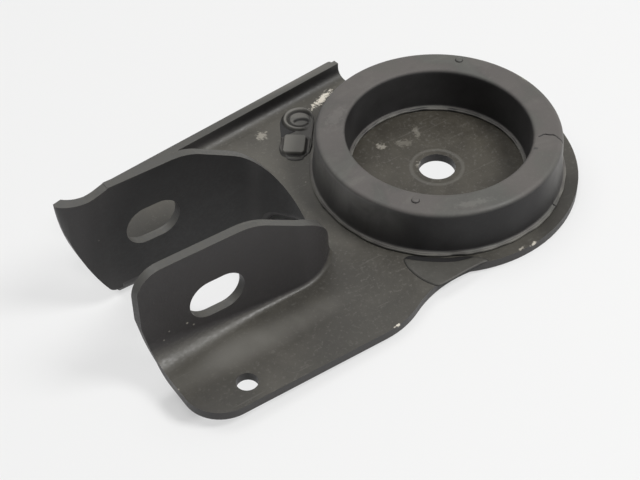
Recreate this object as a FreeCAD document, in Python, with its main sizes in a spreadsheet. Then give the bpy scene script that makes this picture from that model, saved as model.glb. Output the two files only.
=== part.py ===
import FreeCAD, Part
import math
import os
import Sketcher
from FreeCAD import Placement, Rotation, Vector

# A pressed steel bracket with two slotted ears, and the rubber bump stop ring that is moulded onto its
# round end. Lengths are in millimetres. The origin is on the ring's axis in the plate's underside, +Z up,
# and the ears reach out along -X.

doc = FreeCAD.newDocument("bump_stop_bracket")
sizes = doc.addObject("Spreadsheet::Sheet", "sizes")
value = {
    "sheet_thick": 3.0,
    "rim_radius": 46.0,
    "shoulder_x": 28.0,        # the plate's back edge runs into the round end here
    "shoulder_y": 34.0,
    "waist_end": 11.0,
    "waist_edge": 43.6,
    "waist_radius": 41.0,
    "hip_radius": 30.0,
    "hip_start": 56.0,
    "hip_end": 42.0,
    "hip_inset": 3.5,
    "wing_edge": 50.0,         # front edge of the plate from the centre line
    "wing_end": 118.1,
    "wing_corner": 12.0,
    "gap_half": 17.3,          # half of the clear gap between the ears
    "gap_centre": 67.5,        # centre of the gap's round end, behind the ring's axis
    "ear_rise": 38.0,          # top of the ears above the plate's underside
    "ear_end": 121.3,
    "ear_foot_rise": 20.0,
    "ear_corner": 9.0,
    "ear_round_start": 87.3,   # the ears' top edge rounds over here and falls towards the gap's round end
    "ear_round": 19.8,
    "ear_round_end": 77.4,
    "ear_round_rise": 35.35,
    "ear_fall_knee": 64.0,
    "ear_knee_rise": 27.6,
    "ear_fall_curve": 32.0,
    "bend_radius": 12.0,       # inside radius of the ears' bends
    "back_bend_radius": 4.0,   # the back ear's foot turns tighter
    "trough_drop": 9.0,        # the trough at the back ear's foot, below the plate
    "trough_gap": 0.1,         # between the gap's round end and the trough's start
    "trough_run": 14.0,
    "trough_bend": 3.2,        # radius of its first bend, in the middle of the sheet
    "trough_floor": 8.3,       # from the ear's inner face to the far side of the trough's floor
    "trough_rim_y": 43.5,
    "nose_bend": 1.5,
    "nose_split": 50.0,        # the bend opens from this many degrees off the centre line
    "slot_half_height": 6.8,
    "slot_half_run": 2.5,
    "slot_x": 95.6,
    "slot_z": 17.1,
    "centre_hole_radius": 6.1,
    "wing_hole_radius": 3.3,
    "wing_hole_x": 100.2,
    "wing_hole_y": 42.6,
    "back_wing_inset": 12.3,   # the back wing ends this far short of the ears
    "back_corner_y": 36.0,
    "tail_flare_lead": 3.0,    # the tail's lengths run on from the back wing's end
    "tail_flare_radius": 14.0,
    "tail_reach": 14.6,
    "tail_side": 25.0,         # the flared end stops this far from the centre line
    "tail_tip_rise": 33.4,
    "tail_shoulder": 6.5,
    "tail_shoulder_rise": 35.4,
    "tail_side_curve": 75.0,
    "tail_side_foot": 1.8,
    "tail_drop": 4.0,          # how far the back ear's free end reaches below the plate
    "tail_drop_end": 4.4,
    "tail_drop_start": 1.4,
    "tail_drop_corner": 3.6,
    "tail_lap": 0.5,
    "flange_length": 97.0,
    "flange_near": 60.9,       # outer face of the flange from the centre line, at its right end
    "flange_far": 50.4,        # and at its left end
    "flange_lip": 1.7,
    "flange_bend": 3.5,
    "flange_corner": 2.6,
    "flange_lap": 1.0,
    "ring_outer": 40.0,
    "ring_outer_taper": 0.7,
    "ring_inner": 30.0,
    "ring_inner_taper": 0.5,
    "ring_rise": 16.2,
    "ring_round": 1.7,
    "bead_width": 1.4,
    "bead_rise": 1.3,
    "bead_round": 0.6,
    "inner_bead": 1.0,
    "pip_radius": 1.4,
    "pip_rise": 0.5,
    "pip_x": 26.7,
    "pip_y": 24.1,
    "pad_rise": 0.9,
    "lobe_radius": 6.0,
    "lobe_x": 24.9,
    "lobe_y": 45.5,
    "neck_radius": 5.0,
    "neck_x": 29.1,
    "neck_y": 39.6,
    "lock_radius": 5.6,
    "lock_x": 33.3,
    "lock_y": 33.6,
    "flap_outer_x": 34.8,
    "flap_outer_y": 39.4,
    "flap_side_y": 29.5,
    "flap_corner_x": 31.0,
    "flap_corner_y": 42.0,
    "flap_end_x": 15.5,
    "flap_end_y": 42.2,
}
for row, (alias, number) in enumerate(value.items(), 1):
    sizes.set("A%d" % row, alias)
    sizes.set("B%d" % row, str(number))
    sizes.setAlias("B%d" % row, alias)
doc.recompute()


def amount(text):
    """The number that a sum of size names stands for."""
    total = 0.0
    sign = 1.0
    for word in text.split():
        if word in "+-":
            sign = 1.0 if word == "+" else -1.0
        else:
            total += sign * (value[word] if word in value else float(word))
            sign = 1.0
    return total


def bound(text):
    """The same sum as an expression on the sheet."""
    return " ".join("sizes." + word if word in value else word for word in text.split())


def sketchOf(name, path, place=None, owner=None):
    """A closed outline. Each step is (x, y) for a line there, or (x, y, radius, side) for an arc there
    whose centre is on the left (+1) or the right (-1) of the way. Every corner is tied to the sheet."""
    if owner:
        sketch = owner.newObject("Sketcher::SketchObject", name)
    else:
        sketch = doc.addObject("Sketcher::SketchObject", name)
    points = [Vector(amount(step[0]), amount(step[1]), 0) for step in path]
    ends = []
    for i, step in enumerate(path):
        a, b = points[i - 1], points[i]
        if len(step) == 2:
            geo = sketch.addGeometry(Part.LineSegment(a, b), False)
            ends.append((geo, 1, 2))
        else:
            radius, side = amount(step[2]), step[3]
            chord = b - a
            half = chord.Length / 2
            left = Vector(-chord.y, chord.x, 0) / chord.Length
            centre = (a + b) / 2 + left * side * math.sqrt(max(radius ** 2 - half ** 2, 0.0))
            angles = [math.atan2(p.y - centre.y, p.x - centre.x) for p in (a, b)]
            if side < 0:
                angles.reverse()
            if angles[1] <= angles[0]:
                angles[1] += 2 * math.pi
            circle = Part.Circle(centre, Vector(0, 0, 1), radius)
            geo = sketch.addGeometry(Part.ArcOfCircle(circle, angles[0], angles[1]), False)
            ends.append((geo, 1, 2) if side > 0 else (geo, 2, 1))
            tie = sketch.addConstraint(Sketcher.Constraint("Radius", geo, radius))
            sketch.setExpression("Constraints[%d]" % tie, bound(step[2]))
    for i, step in enumerate(path):
        geo, first, last = ends[i]
        after = ends[(i + 1) % len(ends)]
        sketch.addConstraint(Sketcher.Constraint("Coincident", geo, last, after[0], after[1]))
        for kind, axis, text in (("DistanceX", -2, step[0]), ("DistanceY", -1, step[1])):
            if abs(amount(text)) < 1e-9:
                sketch.addConstraint(Sketcher.Constraint("PointOnObject", geo, last, axis))
                continue
            tie = sketch.addConstraint(Sketcher.Constraint(kind, -1, 1, geo, last, amount(text)))
            sketch.setExpression("Constraints[%d]" % tie, bound(text))
    if place:
        sketch.Placement = place
    return sketch


def prism(name, sketch, forward, backward="0"):
    solid = doc.addObject("Part::Extrusion", name)
    solid.Base = sketch
    solid.DirMode = "Normal"
    solid.Solid = True
    solid.setExpression("LengthFwd", bound(forward))
    solid.setExpression("LengthRev", bound(backward))
    return solid


def join(kind, name, base, tool):
    result = doc.addObject("Part::" + kind, name)
    result.Base = base
    result.Tool = tool
    return result


def cylinder(name, radius, height, x, y, z):
    rod = doc.addObject("Part::Cylinder", name)
    rod.setExpression("Radius", bound(radius))
    rod.setExpression("Height", bound(height))
    rod.setExpression("Placement.Base.x", bound(x))
    rod.setExpression("Placement.Base.y", bound(y))
    rod.setExpression("Placement.Base.z", bound(z))
    return rod


def sector(name, radius, height, z, start, sweep):
    rod = cylinder(name, radius, height, "- gap_centre", "0", z)
    rod.setExpression("Angle", sweep)
    rod.Placement.Rotation = Rotation(Vector(0, 0, 1), 0)
    rod.setExpression("Placement.Rotation.Angle", start)
    return rod


def box(name, x, y, z, length, width, height):
    block = doc.addObject("Part::Box", name)
    for prop, text in (("Length", length), ("Width", width), ("Height", height)):
        block.setExpression(prop, bound(text))
    for axis, text in (("x", x), ("y", y), ("z", z)):
        block.setExpression("Placement.Base." + axis, bound(text))
    return block


def footed(name, radius, floor, extra):
    """A slab whose top is at floor, with a trough along its back half, and a U-shaped block on it. The hollow
    corner between them has the bend's radius beside the straight front wall, runs out to the nose's small one
    round the end and opens a little again along the back wall."""
    reach = "ear_end + bend_radius + sheet_thick"
    slab = box(name + "_slab", "- " + reach.replace("+", "-"), "- wing_edge - bend_radius",
               floor + " - ear_rise", reach + " + rim_radius + bend_radius",
               "wing_edge + bend_radius + flange_near + bend_radius", "ear_rise")
    dug = join("Cut", name + "_dug", slab, trough(name, floor, extra))
    block = box(name + "_block", "- " + reach.replace("+", "-"), "- " + radius.replace("+", "-"),
                floor + " - trough_drop - sheet_thick", reach + " - gap_centre", radius + " + " + radius,
                "trough_drop + sheet_thick + ear_rise + bend_radius")
    pieces = [dug, block]
    for side, start, sweep in (("front_root", "-90", "90 - sizes.nose_split"),
                               ("front_nose", "-sizes.nose_split", "sizes.nose_split"),
                               ("back_nose", "0", "sizes.nose_split"),
                               ("back_root", "sizes.nose_split", "90 - sizes.nose_split")):
        pieces.append(sector(name + "_" + side, radius, "trough_drop + sheet_thick + ear_rise + bend_radius",
                             floor + " - trough_drop - sheet_thick", start, sweep))
    solid = doc.addObject("Part::MultiFuse", name + "_sharp")
    solid.Shapes = pieces
    solid.Refine = False
    doc.recompute()
    wall, level = amount(radius), amount(floor)
    tight = value["nose_bend"] + extra

    def radiusAt(point):
        off = math.degrees(math.atan2(point.y, point.x + value["gap_centre"]))
        wide = (value["bend_radius"] if off < 0 else value["back_bend_radius"]) + extra
        if abs(off) >= 90:
            return wide
        return tight + (wide - tight) * max(abs(off) - value["nose_split"], 0) / (90 - value["nose_split"])

    chosen = []
    for number, edge in enumerate(solid.Shape.Edges, 1):
        middle = edge.valueAt((edge.FirstParameter + edge.LastParameter) / 2)
        behind = middle.x + value["gap_centre"]
        away = abs(middle.y) if behind < 0 else math.hypot(behind, middle.y)
        ends = [edge.valueAt(edge.LastParameter), edge.valueAt(edge.FirstParameter)]
        plan_run = math.hypot(ends[0].x - ends[1].x, ends[0].y - ends[1].y)
        lowest = level - value["trough_drop"] - 1e-4
        if lowest < middle.z < level + 1e-4 and abs(away - wall) < 1e-4 and plan_run > 1e-3:
            # a reversed edge lists its far end first
            chosen.append((number, radiusAt(ends[0]), radiusAt(ends[1])))
    footing = doc.addObject("Part::Fillet", name)
    footing.Base = solid
    footing.Edges = chosen
    return footing


def trough(name, floor, extra):
    """What is dug out of the back half of the plate: it falls in two arcs beside the nose, has a narrow level
    floor along the ear and rises in a straight slope to the flange. The sheet keeps its thickness there."""
    thick, drop, rim = value["sheet_thick"], value["trough_drop"], value["trough_rim_y"]
    run = value["trough_run"]
    steep = 2 * math.atan2(drop, run)
    upper = value["trough_bend"] + thick / 2 - extra
    lower = run / math.sin(steep) - value["trough_bend"] - thick / 2 + extra
    high, low = amount(floor), amount(floor) - drop
    start = value["gap_half"] - value["gap_centre"] - value["trough_gap"]
    end = start - run
    far = -value["ear_end"] - value["bend_radius"] - thick - 1

    def fallingPoint(turn):
        return Vector(start - upper * math.sin(turn), 0, high - upper * (1 - math.cos(turn)))

    def levellingPoint(turn):
        return Vector(end + lower * math.sin(turn), 0, low + lower * (1 - math.cos(turn)))

    corners = [Vector(end, 0, low), Vector(far, 0, low), Vector(far, 0, high + 1), Vector(start, 0, high + 1),
               Vector(start, 0, high)]
    edges = [Part.Arc(corners[-1], fallingPoint(steep / 2), fallingPoint(steep)).toShape(),
             Part.Arc(fallingPoint(steep), levellingPoint(steep / 2), corners[0]).toShape()]
    edges += [Part.makeLine(p, q) for p, q in zip(corners, corners[1:])]
    lengthwise = Part.Face(Part.Wire(edges)).extrude(Vector(0, rim + drop, 0))

    floor_edge = value["gap_half"] + value["trough_floor"]
    lean = (rim - floor_edge) / drop
    shift = (thick - extra) * (math.hypot(lean, 1) - lean)
    section = [Vector(far, -1, low - 1), Vector(far, -1, high + 1), Vector(far, rim + lean - shift, high + 1),
               Vector(far, floor_edge - lean - shift, low - 1)]
    crosswise = Part.Face(Part.makePolygon(section + section[:1])).extrude(Vector(start - far, 0, 0))
    dug = doc.addObject("Part::Feature", name + "_trough")
    dug.Shape = lengthwise.common(crosswise)
    return dug


upright = Rotation(Vector(1, 0, 0), 90)

# the bent sheet: plate and ears in one, 3 mm everywhere
outside = footed("outside", "gap_half + sheet_thick", "sheet_thick", 0.0)
inside = footed("inside", "gap_half", "0", value["sheet_thick"])
bent = join("Cut", "bent_sheet", outside, inside)

# the blank's outline seen from above: front wing, waist, round end and back wing
outline = sketchOf("plan_outline", [
    ("0", "flange_near - flange_bend - sheet_thick - tail_lap"),
    ("- flange_length", "flange_far - flange_bend - sheet_thick - tail_lap"),
    ("- ear_end + back_wing_inset", "back_corner_y"),
    ("- ear_end + back_wing_inset", "0"),
    ("- ear_end", "0"),
    ("- ear_end", "- gap_half"),
    ("- wing_end", "wing_corner - wing_edge"),
    ("wing_corner - wing_end", "- wing_edge", "wing_corner", 1),
    ("- hip_start", "- wing_edge"),
    ("- hip_end", "hip_inset - wing_edge", "hip_radius", 1),
    ("- waist_end", "- waist_edge", "waist_radius", -1),
    ("shoulder_x", "shoulder_y"),
])
plan = prism("plan", outline, "ear_rise + bend_radius", "bend_radius")
rim = cylinder("rim", "rim_radius", "ear_rise + bend_radius", "0", "0", "- bend_radius")
plan_all = join("Fuse", "plan_all", plan, rim)
blank = join("Common", "blank", bent, plan_all)

# the ears' top edge, level and then falling round the gap's end down to the plate, and the front ear's end,
# which draws in towards its foot
above = sketchOf("ear_edge", [
    ("gap_half + sheet_thick + nose_bend + nose_bend - gap_centre", "sheet_thick"),
    ("gap_half + sheet_thick + nose_bend + nose_bend - gap_centre", "ear_rise + bend_radius"),
    ("- ear_end - bend_radius", "ear_rise + bend_radius"),
    ("- ear_end - bend_radius", "- bend_radius"),
    ("- wing_end", "- bend_radius"),
    ("- wing_end", "sheet_thick"),
    ("- ear_end", "ear_foot_rise"),
    ("- ear_end", "ear_rise - ear_corner"),
    ("ear_corner - ear_end", "ear_rise", "ear_corner", -1),
    ("- ear_round_start", "ear_rise"),
    ("- ear_round_end", "ear_round_rise", "ear_round", -1),
    ("- ear_fall_knee", "ear_knee_rise"),
    ("gap_half - gap_centre", "sheet_thick", "ear_fall_curve", -1),
], Placement(Vector(0, 0, 0), upright))
waste = prism("ear_waste", above, "wing_edge - wing_corner", "wing_edge - wing_corner")
eared = join("Cut", "eared", blank, waste)

# the back ear's free end: flared outwards and hanging a little below the plate
strip = sketchOf("tail_plan", [
    ("tail_lap - ear_end + back_wing_inset", "gap_half"),
    ("tail_lap - ear_end + back_wing_inset", "gap_half + sheet_thick"),
    ("- ear_end + back_wing_inset - tail_flare_lead", "gap_half + sheet_thick"),
    ("sheet_thick - ear_end + back_wing_inset - tail_flare_lead - tail_flare_radius",
     "gap_half + tail_flare_radius", "tail_flare_radius - sheet_thick", -1),
    ("- ear_end + back_wing_inset - tail_flare_lead - tail_flare_radius", "gap_half + tail_flare_radius"),
    ("- ear_end + back_wing_inset - tail_flare_lead", "gap_half", "tail_flare_radius", 1),
])
strip_solid = prism("tail_strip", strip, "ear_rise + bend_radius", "tail_drop + bend_radius")
side = sketchOf("tail_side_view", [
    ("tail_lap - ear_end + back_wing_inset", "ear_rise"),
    ("- ear_end + back_wing_inset - tail_shoulder", "tail_shoulder_rise"),
    ("- ear_end + back_wing_inset - tail_reach", "tail_tip_rise"),
    ("- ear_end + back_wing_inset - tail_drop_end", "- tail_side_foot", "tail_side_curve", 1),
    ("- ear_end + back_wing_inset - tail_drop_start", "- tail_drop", "tail_drop_corner", 1),
    ("tail_lap - ear_end + back_wing_inset", "- tail_drop"),
], Placement(Vector(0, 0, 0), upright))
side_solid = prism("tail_side_block", side, "gap_half", "tail_side")
tail = join("Common", "tail", strip_solid, side_solid)

# the flange turned up along the back edge: its section runs straight along the edge
across = Rotation(Vector(0, 0, 1), 90) * upright
section = sketchOf("flange_section", [
    ("- sheet_thick - flange_bend - flange_lap", "0"),
    ("- sheet_thick - flange_bend", "0"),
    ("0", "sheet_thick + flange_bend", "sheet_thick + flange_bend", 1),
    ("0", "sheet_thick + flange_bend + flange_lip"),
    ("- sheet_thick", "sheet_thick + flange_bend + flange_lip"),
    ("- sheet_thick", "sheet_thick + flange_bend"),
    ("- sheet_thick - flange_bend", "sheet_thick", "flange_bend", -1),
    ("- sheet_thick - flange_bend - flange_lap", "sheet_thick"),
], Placement(Vector(0, 0, 0), across))
flange = prism("flange_run", section, "0", "flange_length")
corner = sketchOf("flange_corner_view", [
    ("0", "sheet_thick + flange_bend + flange_lip - flange_corner", "flange_corner", -1),
    ("flange_lap", "sheet_thick + flange_bend + flange_lip - flange_corner"),
    ("flange_lap", "sheet_thick + flange_bend + flange_lip + flange_lap"),
    ("- flange_corner", "sheet_thick + flange_bend + flange_lip + flange_lap"),
    ("- flange_corner", "sheet_thick + flange_bend + flange_lip"),
], Placement(Vector(0, 0, 0), upright))
corner_waste = prism("flange_corner_waste", corner, "flange_lap", "sheet_thick + flange_bend + flange_lap")
corner_waste.Placement = Placement(Vector(0, 0, 0), Rotation(Vector(0, 0, 1), 0))
flange.Placement = Placement(Vector(0, 0, 0), Rotation(Vector(0, 0, 1), 0))
for turned in (flange, corner_waste):
    turned.setExpression("Placement.Base.y", "sizes.flange_near")
    turned.setExpression("Placement.Rotation.Angle",
                         "atan2(sizes.flange_near - sizes.flange_far; sizes.flange_length)")
flange_cut = join("Cut", "flange_rounded", flange, corner_waste)

whole = doc.addObject("Part::MultiFuse", "whole_sheet")
whole.Shapes = [eared, tail, flange_cut]
whole.Refine = True

# the ears' slots, one through both, and the two round holes
slot_pieces = [box("slot_middle", "- slot_x - slot_half_run", "- wing_edge", "slot_z - slot_half_height",
                   "slot_half_run + slot_half_run", "wing_edge + wing_edge",
                   "slot_half_height + slot_half_height")]
for name, sign in (("slot_far_end", "-"), ("slot_near_end", "+")):
    rod = cylinder(name, "slot_half_height", "wing_edge + wing_edge",
                   "- slot_x " + sign + " slot_half_run", "wing_edge", "slot_z")
    rod.Placement.Rotation = upright
    slot_pieces.append(rod)
centre_hole = cylinder("centre_hole", "centre_hole_radius", "sheet_thick + sheet_thick + sheet_thick",
                       "0", "0", "- sheet_thick")
wing_hole = cylinder("wing_hole", "wing_hole_radius", "sheet_thick + sheet_thick + sheet_thick",
                     "- wing_hole_x", "- wing_hole_y", "- sheet_thick")
holes = doc.addObject("Part::MultiFuse", "holes")
holes.Shapes = slot_pieces + [centre_hole, wing_hole]
bracket = join("Cut", "bracket", whole, holes)
bracket.Label = "pressed_bracket"

# the rubber ring, turned about Z: a plain ring with a thin bead round its foot, moulded onto the plate
ring_body = doc.addObject("PartDesign::Body", "ring_body")
planes = {plane.Role: plane for plane in ring_body.Origin.OriginFeatures}
top = "sheet_thick + ring_rise"
profile = sketchOf("ring_section", [
    ("ring_inner - ring_inner_taper - inner_bead", "sheet_thick"),
    ("ring_outer + ring_outer_taper + bead_width", "sheet_thick"),
    ("ring_outer + ring_outer_taper + bead_width", "sheet_thick + bead_rise - bead_round"),
    ("ring_outer + ring_outer_taper + bead_width - bead_round", "sheet_thick + bead_rise", "bead_round", 1),
    ("ring_outer + ring_outer_taper", "sheet_thick + bead_rise"),
    ("ring_outer", top + " - ring_round"),
    ("ring_outer - ring_round", top, "ring_round", 1),
    ("ring_inner + ring_round", top),
    ("ring_inner", top + " - ring_round", "ring_round", 1),
    ("ring_inner - ring_inner_taper", "sheet_thick + inner_bead"),
], owner=ring_body)
profile.AttachmentSupport = [(planes["XZ_Plane"], "")]
profile.MapMode = "FlatFace"
turned_ring = ring_body.newObject("PartDesign::Revolution", "ring_turned")
turned_ring.Profile = profile
turned_ring.ReferenceAxis = (planes["Z_Axis"], [""])
turned_ring.Angle = 360.0
ring_body.Tip = turned_ring

pieces = [ring_body]
for name, sign in (("pip_back", ""), ("pip_front", "- ")):
    pieces.append(cylinder(name, "pip_radius", "ring_round + pip_rise", sign + "pip_x", sign + "pip_y",
                           top + " - ring_round"))
lobe = cylinder("lug_lobe", "lobe_radius", "pad_rise", "- lobe_x", "lobe_y", "sheet_thick")
lock = cylinder("lug_lock", "lock_radius", "pad_rise", "- lock_x", "lock_y", "sheet_thick")
neck = cylinder("lug_neck", "neck_radius", "pad_rise", "- neck_x", "neck_y", "sheet_thick")
pieces += [lobe, neck, lock]
flap = sketchOf("lug_flap_plan", [
    ("- lock_x", "- flap_side_y"),
    ("- flap_outer_x", "- flap_outer_y"),
    ("- flap_corner_x", "- flap_corner_y"),
    ("- flap_end_x", "- flap_end_y"),
    ("- flap_end_x", "- flap_side_y"),
], Placement(Vector(0, 0, value["sheet_thick"]), Rotation()))
flap.setExpression("Placement.Base.z", "sizes.sheet_thick")
flap_pad = prism("lug_flap", flap, "pad_rise")
cup = cylinder("inside_of_ring", "ring_inner + ring_round", "pad_rise + pad_rise", "0", "0", "sheet_thick")
flap_clear = join("Cut", "lug_flap_clear", flap_pad, cup)
pieces.append(flap_clear)
ring = doc.addObject("Part::MultiFuse", "ring")
ring.Shapes = pieces
ring.Refine = True
ring.Label = "rubber_ring"

doc.recompute()

for thing in doc.Objects:
    if "Invalid" in thing.State or "Error" in thing.State:
        raise RuntimeError(thing.Name + " did not compute")
os.makedirs("parts", exist_ok=True)
for piece in (bracket, ring):
    shape = piece.Shape
    if shape.isNull() or not shape.isValid():
        raise RuntimeError(piece.Label + " has no valid shape")
    box_of = shape.BoundBox
    print(piece.Label, len(shape.Solids), "solid", round(shape.Volume, 1), "mm3",
          [round(c, 2) for c in (box_of.XMin, box_of.YMin, box_of.ZMin, box_of.XMax, box_of.YMax, box_of.ZMax)])
    shape.exportStep("parts/" + piece.Label + ".step")
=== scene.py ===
import bmesh
import bpy
import math
import numpy as np
from mathutils import Matrix, Vector


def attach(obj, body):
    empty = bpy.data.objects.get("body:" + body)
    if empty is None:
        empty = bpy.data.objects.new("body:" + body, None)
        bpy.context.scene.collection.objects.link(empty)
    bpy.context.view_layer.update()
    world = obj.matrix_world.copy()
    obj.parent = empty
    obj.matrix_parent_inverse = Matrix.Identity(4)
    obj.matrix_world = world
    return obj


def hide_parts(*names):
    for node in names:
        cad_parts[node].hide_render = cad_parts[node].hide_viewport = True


# Looks for a rubber bump stop ring on its pressed steel bracket. Lengths in the dictionaries are in
# millimetres, in the part's own frame: z is 0 in the plate's underside and 3 on its top.
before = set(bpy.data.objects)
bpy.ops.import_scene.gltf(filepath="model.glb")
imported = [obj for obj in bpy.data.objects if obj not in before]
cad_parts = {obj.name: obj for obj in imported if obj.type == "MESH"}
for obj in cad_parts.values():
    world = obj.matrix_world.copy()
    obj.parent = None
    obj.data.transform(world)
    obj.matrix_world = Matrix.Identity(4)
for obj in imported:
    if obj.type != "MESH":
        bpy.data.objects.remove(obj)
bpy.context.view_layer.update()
mm = 0.001
print("bump stop bracket: frame loaded")


class Shade:
    # a material with one Principled shader, and short calls that add nodes to it

    def __init__(self, name):
        self.mat = bpy.data.materials.new(name)
        self.mat.use_nodes = True
        self.tree = self.mat.node_tree
        self.tree.nodes.clear()
        self.out = self.tree.nodes.new("ShaderNodeOutputMaterial")
        self.shader = self.tree.nodes.new("ShaderNodeBsdfPrincipled")
        self.tree.links.new(self.shader.outputs[0], self.out.inputs["Surface"])
        self.place = self.tree.nodes.new("ShaderNodeTexCoord").outputs["Object"]
        split = self.tree.nodes.new("ShaderNodeSeparateXYZ")
        self.tree.links.new(self.place, split.inputs[0])
        self.x, self.y, self.z = split.outputs
        # how far the surface faces along X and up
        normal = self.tree.nodes.new("ShaderNodeNewGeometry").outputs["True Normal"]
        facing = self.tree.nodes.new("ShaderNodeSeparateXYZ")
        self.tree.links.new(normal, facing.inputs[0])
        self.sideward, self.upward = facing.outputs[0], facing.outputs[2]

    def put(self, node, socket, what):
        # links an output to the socket, or sets the socket's value; None leaves it as it is
        if what is None:
            return
        if isinstance(what, bpy.types.NodeSocket):
            self.tree.links.new(what, node.inputs[socket])
        else:
            node.inputs[socket].default_value = what

    def attribute(self, name):
        node = self.tree.nodes.new("ShaderNodeAttribute")
        node.attribute_name = name
        return node.outputs["Fac"]

    def noise(self, scale, detail=4.0, rough=0.55, distort=0.0, where=None):
        node = self.tree.nodes.new("ShaderNodeTexNoise")
        self.put(node, "Vector", where or self.place)
        for key, number in (("Scale", scale), ("Detail", detail), ("Roughness", rough), ("Distortion", distort)):
            node.inputs[key].default_value = number
        return node.outputs["Fac"]

    def specks(self, scale):
        # distance to scattered points, in cells
        node = self.tree.nodes.new("ShaderNodeTexVoronoi")
        self.put(node, "Vector", self.place)
        node.inputs["Scale"].default_value = scale
        return node.outputs["Distance"]

    def stretched(self, turn, scale):
        # the place turned about Z and squeezed, for marks that run one way
        node = self.tree.nodes.new("ShaderNodeMapping")
        node.inputs["Rotation"].default_value = (0, 0, math.radians(turn))
        node.inputs["Scale"].default_value = scale
        self.put(node, "Vector", self.place)
        return node.outputs[0]

    def ramp(self, fac, low, high, a=0.0, b=1.0):
        # a smooth step from a at low to b at high
        node = self.tree.nodes.new("ShaderNodeMapRange")
        node.interpolation_type = "SMOOTHSTEP"
        self.put(node, "Value", fac)
        for key, number in (("From Min", low), ("From Max", high), ("To Min", a), ("To Max", b)):
            node.inputs[key].default_value = number
        return node.outputs["Result"]

    def math(self, kind, a, b):
        node = self.tree.nodes.new("ShaderNodeMath")
        node.operation = kind
        self.put(node, 0, a)
        self.put(node, 1, b)
        return node.outputs[0]

    def mix(self, fac, a, b, blend="MIX"):
        node = self.tree.nodes.new("ShaderNodeMix")
        node.data_type = "RGBA"
        node.blend_type = blend
        node.clamp_factor = True
        self.put(node, 0, fac)
        for k, colour in ((6, a), (7, b)):
            self.put(node, k, colour if isinstance(colour, bpy.types.NodeSocket) else (*colour, 1.0))
        return node.outputs[2]

    def away(self, point, squeeze=(1, 1, 1), turn=0.0):
        # distance from a point in millimetres, with the axes stretched and turned for long marks
        node = self.tree.nodes.new("ShaderNodeMapping")
        node.vector_type = "TEXTURE"
        node.inputs["Location"].default_value = [c * mm for c in point]
        node.inputs["Rotation"].default_value = (0, 0, math.radians(turn))
        node.inputs["Scale"].default_value = [c * mm for c in squeeze]
        self.put(node, "Vector", self.place)
        length = self.tree.nodes.new("ShaderNodeVectorMath")
        length.operation = "LENGTH"
        self.put(length, 0, node.outputs[0])
        return length.outputs["Value"]

    def bump(self, height, strength, distance, normal=None):
        node = self.tree.nodes.new("ShaderNodeBump")
        node.inputs["Strength"].default_value = strength
        node.inputs["Distance"].default_value = distance
        self.put(node, "Height", height)
        self.put(node, "Normal", normal)
        return node.outputs[0]


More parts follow.
